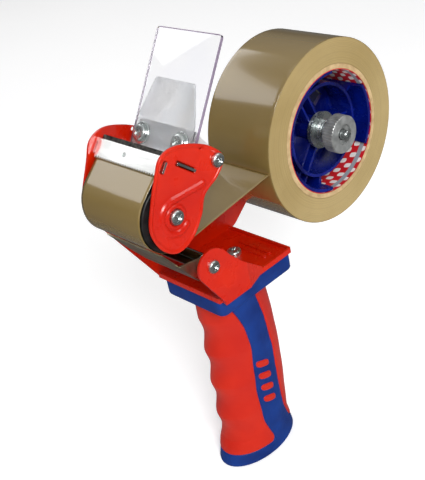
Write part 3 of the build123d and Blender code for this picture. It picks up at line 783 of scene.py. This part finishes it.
def cheekRelief(x, z):
    # bead height falls with distance from a line and an arc; the boss is a ring about the roller axle
    cx, cz = cheek["axle"]
    angle = np.arctan2(z - cz, x - cx)
    away = np.hypot(x - cx, z - cz)
    ends = [math.radians(end) for end in cheek["beadEnds"]]
    onArc = (angle < ends[0]) & (angle > ends[1])
    tips = [(cx + cheek["beadRadius"] * math.cos(a), cz + cheek["beadRadius"] * math.sin(a)) for a in ends]
    toArc = np.where(onArc, np.abs(away - cheek["beadRadius"]), 99)
    toTip = np.minimum(np.hypot(x - tips[0][0], z - tips[0][1]), np.hypot(x - tips[1][0], z - tips[1][1]))
    run = np.array(cheek["beadTail"]) - np.array(tips[0])
    share = np.clip(((x - tips[0][0]) * run[0] + (z - tips[0][1]) * run[1]) / (run @ run), 0, 1)
    toLine = np.hypot(x - tips[0][0] - share * run[0], z - tips[0][1] - share * run[1])
    distance = np.minimum(np.minimum(toArc, toTip), toLine)
    height = cheek["bead"] * (1 - smooth(distance, 0.5, cheek["beadHalf"] + 0.5))
    boss = cheek["boss"] * smooth(away, *cheek["bossRise"]) * (1 - smooth(away, *cheek["bossFall"]))
    return np.maximum(height, boss)


def makeCheek():
    # rings shrink from the rim to the middle on both faces; the rim is a half round of the sheet's thickness
    angles = np.linspace(0, 2 * math.pi, cheek["around"], endpoint=False)
    middle = np.array(cheek["middle"])
    reach = outlineReach(cheek["outline"], middle, angles)
    outline = middle + reach[:, None] * np.stack([np.cos(angles), np.sin(angles)], 1)
    tangent = np.roll(outline, -1, 0) - np.roll(outline, 1, 0)
    tangent /= np.linalg.norm(tangent, axis=1)[:, None]
    normal = np.stack([tangent[:, 1], -tangent[:, 0]], 1)
    rim = cheek["rim"]
    shares = np.linspace(0.012, 1, cheek["rows"])[:, None, None]
    flat = middle + shares * (outline - normal * rim - middle)
    bend = np.linspace(0, math.pi, 9)[1:-1, None, None]
    edge = outline - normal * rim + normal * rim * np.sin(bend)
    edgeY = cheek["near"] - rim + rim * np.cos(np.repeat(bend[:, :, 0], len(angles), 1))
    height = cheekRelief(flat[..., 0], flat[..., 1])
    bent, fall, out = bladeLine["bend"], bladeLine["fall"], bladeLine["out"]
    short = slotDepth(flat[..., 0], flat[..., 1], bent + fall * 2.0 - out * 0.5, fall, 6.4)
    long = slotDepth(flat[..., 0], flat[..., 1], bent - out * 7.6 + fall * 0.6, -out, 14.4)
    fromDimple = np.hypot(*np.moveaxis(flat - cheek["dimple"], -1, 0))
    low = np.maximum(np.maximum(short, long), 1 - smooth(fromDimple, *cheek["dimpleWall"]))
    fromRim = (1 - shares[:, :, 0]) * reach[None]
    height = height * smooth(fromRim, 1.0, 2.4) + cheek["rolledRim"] * (1 - smooth(fromRim, 0.4, 2.2))
    edgeY = edgeY + cheek["rolledRim"] * np.cos(np.repeat(bend[:, :, 0], len(angles), 1) / 2) ** 2
    nearY = cheek["near"] + height - cheek["slotDeep"] * low
    back = middle + shares[::-1] * (outline - normal * rim - middle)
    backY = np.full(back.shape[:2], cheek["near"] - cheek["sheet"])
    sheetPoints = np.concatenate([flat, edge, back])
    depth = np.concatenate([nearY, edgeY, backY])
    grid = np.stack([sheetPoints[..., 0], depth, sheetPoints[..., 1]], -1)
    pressing = gridPatch(grid, around=True, capFirst=True, capLast=True)
    makePiece("cheekPressing", [pressing], ["redPaint"], "frame_body", ["near_cheek"])


makeCheek()

# grip: hard inner with two soft pads
grip = {
    "top": -67.6, "low": -196.0, "pitch": 25.0, "knuckle": -108.0,
    "frontX": 107.5, "frontLean": 6.0, "backX": 60.5, "backArch": 3.6, "halfWide": 17.2,
    "fingerDeep": 2.7, "fingerPower": 1.35, "flare": 5.0, "flareFrom": 0.86, "butt": 1.6, "stripDeep": 1.5,
    # (height, x) along each border of the soft pads
    "frontEdge": [
        (-60, 104), (-67.6, 101), (-79, 95.5), (-92, 91), (-108, 89.5), (-140, 92.5), (-168, 92), (-180, 88.3),
        (-185, 86.5), (-200, 86.5),
    ],
    "backEdge": [
        (-60, 81), (-66, 80), (-92, 74.5), (-118, 72), (-148, 73), (-170, 71.5), (-184, 66), (-200, 60),
    ],
    "padLow": -187.3, "padGap": 0.3, "padCorner": 5.0, "padThick": 0.6, "proud": 0.45, "sunk": 0.9, "lip": 1.5,
}


def borderX(points, z):
    # border of a pad seen from the side, smoothed between its corners
    table = np.array(sorted(points))
    fine = np.linspace(table[0, 0], table[-1, 0], 600)
    kernel = np.hanning(61)
    kernel /= kernel.sum()
    values = np.interp(fine, table[:, 0], table[:, 1])
    padded = np.concatenate([np.full(30, values[0]), values, np.full(30, values[-1])])
    return np.interp(z, fine, np.convolve(padded, kernel, "valid"))


def gripSection(z):
    # centre and half sizes of the oval at a height: finger hollows in front, flare at the butt
    down = (grip["top"] - z) / (grip["top"] - grip["low"])
    phase = (z - grip["knuckle"]) / grip["pitch"]
    inFingers = (phase > -3) & (phase < 1)
    scallop = np.abs(np.sin(math.pi * phase)) ** grip["fingerPower"]
    hollow = np.where(inFingers, grip["fingerDeep"] * scallop, 0.0)
    flare = grip["flare"] * np.maximum(0, (down - grip["flareFrom"]) / (1 - grip["flareFrom"]))
    front = grip["frontX"] + grip["frontLean"] * down - hollow + flare
    back = grip["backX"] - grip["backArch"] * np.sin(math.pi * np.minimum(1, down * 1.2)) - 0.7 * flare
    half = grip["halfWide"] + down + 0.2 * flare
    return (front + back) / 2, (front - back) / 2, half


def gripPoint(angle, z, offset):
    # oval point pushed out along its normal
    centre, halfX, halfY = gripSection(z)
    x, y = centre + halfX * np.cos(angle), halfY * np.sin(angle)
    nx, ny = np.cos(angle) / halfX, np.sin(angle) / halfY
    length = np.hypot(nx, ny)
    return np.stack([x + offset * nx / length, y + offset * ny / length, z], -1)


def borderAngle(edge, z):
    # angle where a border crosses the oval: arc cosine of its x as a share of the half length
    centre, halfX, halfY = gripSection(z)
    return np.arccos(np.clip((borderX(grip[edge], z) - centre) / halfX, -0.999, 0.999))


def makePads():
    # each pad is a shell over its angles; its skin falls from proud to sunk within a lip along every border
    padTop, bend = grip["top"] + grip["padGap"], grip["padCorner"]
    heights = np.linspace(padTop, grip["padLow"], 220)
    across = np.sin(np.linspace(-math.pi / 2, math.pi / 2, 90))
    pads = (
        ("gripFrontPad", "frontEdge", 0.0, "grip_front"),
        ("gripBackPad", "backEdge", math.pi, "grip_back"),
    )
    for name, edge, turn, replaced in pads:
        half = borderAngle(edge, heights) if turn == 0.0 else math.pi - borderAngle(edge, heights)
        corner = np.clip((grip["padLow"] + bend - heights) / bend, 0, 1)
        halfX = gripSection(heights)[1]
        half = half - (bend / halfX) * (1 - np.sqrt(np.maximum(0, 1 - corner**2)))
        angle = turn + across[None] * half[:, None]
        z = np.repeat(heights[:, None], len(across), 1)
        fromSide = (1 - np.abs(across[None])) * half[:, None] * halfX[:, None]
        fromEnd = np.minimum(heights - grip["padLow"], padTop - heights + 1.0)[:, None]
        inside = np.minimum(fromSide, fromEnd)
        t = np.clip(inside / grip["lip"], 0, 1)
        offset = -grip["sunk"] + (grip["proud"] + grip["sunk"]) * np.sqrt(np.maximum(0, 1 - (1 - t) ** 2))
        skin = gripPoint(angle, z, offset)
        under = gripPoint(angle, z, np.full_like(z, -grip["sunk"] - grip["padThick"]))
        loop = np.concatenate([skin, under[:, ::-1]], 1)
        ends = [gridPatch(np.stack([skin[row], under[row]], 0)) for row in (0, -1)]
        pad = [gridPatch(loop, around=True)] + ends
        makePiece(name, pad, ["softRed"], "frame_body", [replaced], merge=0.002)


makePads()

# the collar is its outline shrunk to each share, at each height
collar = {
    "x": (51.0, 112.0), "half": 25.2, "corner": 5.0,
    "rings": [
        (0.05, -67.6), (0.8, -67.6), (0.97, -67.6), (0.992, -67.35), (1.0, -66.7), (1.0, -58.0), (0.992, -57.2),
        (0.97, -57.05), (0.05, -57.05),
    ],
}


def makeHandle():
    # inner grip: the oval itself, sunk under the pads, with a rounded butt and a soft-cornered collar on top
    butt = grip["butt"]
    straight = np.linspace(grip["top"] + 2, grip["low"] + butt, 230)
    rounded = grip["low"] + butt * (1 - np.sin(np.linspace(0.15, math.pi / 2, 7)))
    heights = np.concatenate([straight, rounded])
    angle = np.linspace(-math.pi, math.pi, 240, endpoint=False)
    z = np.repeat(heights[:, None], len(angle), 1)
    turn = np.abs(angle)[None]
    halfX = gripSection(heights)[1]
    frontGap = (turn - borderAngle("frontEdge", heights)[:, None]) * halfX[:, None]
    backGap = (borderAngle("backEdge", heights)[:, None] - turn) * halfX[:, None]
    strip = smooth(np.maximum(np.minimum(frontGap, backGap), grip["padLow"] - z), -0.9, 0.3)
    rounding = np.maximum(0, grip["low"] + butt - heights)[:, None]
    offset = -grip["stripDeep"] * (1 - strip) - butt * (1 - np.sqrt(np.maximum(0, 1 - (rounding / butt) ** 2)))
    shell = gripPoint(np.repeat(angle[None], len(heights), 0), z, offset)
    (x0, x1), half = collar["x"], collar["half"]
    outline = softCorners([(x1, half), (x0, half), (x0, -half), (x1, -half)], collar["corner"], 7)
    middle = np.array([(x0 + x1) / 2, 0])
    shares, levels = np.array(collar["rings"]).T
    rings = middle + (outline - middle) * shares[:, None, None]
    levels = np.repeat(levels[:, None], len(outline), 1)
    block = np.concatenate([rings, levels[..., None]], -1)
    patches = [gridPatch(grid, around=True, capFirst=True, capLast=True) for grid in (shell, block)]
    makePiece("handleShell", patches, ["bluePlastic"], "frame_body", ["handle_body"])


makeHandle()

# raised bars on the side strip
bars = {
    "heights": [-124.5, -134.0, -143.5, -153.0], "x": 84.0, "halfLong": 5.2, "halfTall": 2.6, "raise": 0.7,
    "slant": 0.35, "powers": (0.5, 0.8),
}


def makeBars():
    # each bar is a low pillow on the oval: superellipse outline, height from the square root of 1 - r^6
    patches = []
    rings = np.linspace(0.02, 1, 14)[:, None]
    angle = np.linspace(0, 2 * math.pi, 48, endpoint=False)[None]
    long, tall = bars["powers"]
    u = np.sign(np.cos(angle)) * np.abs(np.cos(angle)) ** long
    v = np.sign(np.sin(angle)) * np.abs(np.sin(angle)) ** tall
    for sideSign in (1, -1):
        for z0 in bars["heights"]:
            x = bars["x"] + bars["halfLong"] * rings * u
            z = z0 + bars["halfTall"] * rings * v + bars["slant"] * (x - bars["x"])
            centre, halfX, halfY = gripSection(z)
            y = halfY * np.sqrt(np.maximum(0, 1 - ((x - centre) / halfX) ** 2))
            top = y + bars["raise"] * np.sqrt(np.maximum(0, 1 - rings**6)) - 0.05
            skin = np.stack([x, top, z], -1)
            foot = np.stack([x[-1:], y[-1:] - 0.8, z[-1:]], -1)
            grid = np.concatenate([skin, foot])
            grid[..., 1] *= sideSign
            patches.append(gridPatch(grid, around=True, capFirst=True, capLast=True))
    makePiece("gripBars", patches, ["softRed"], "frame_body")


makeBars()

addStudio(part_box("handle_body")[0][2])
addCamera()
shownLow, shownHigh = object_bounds()
for label, corners in (("CAD", cadBounds), ("shown", [list(shownLow), list(shownHigh)])):
    print("size", label, [round(v, 4) for v in corners[0] + corners[1]])
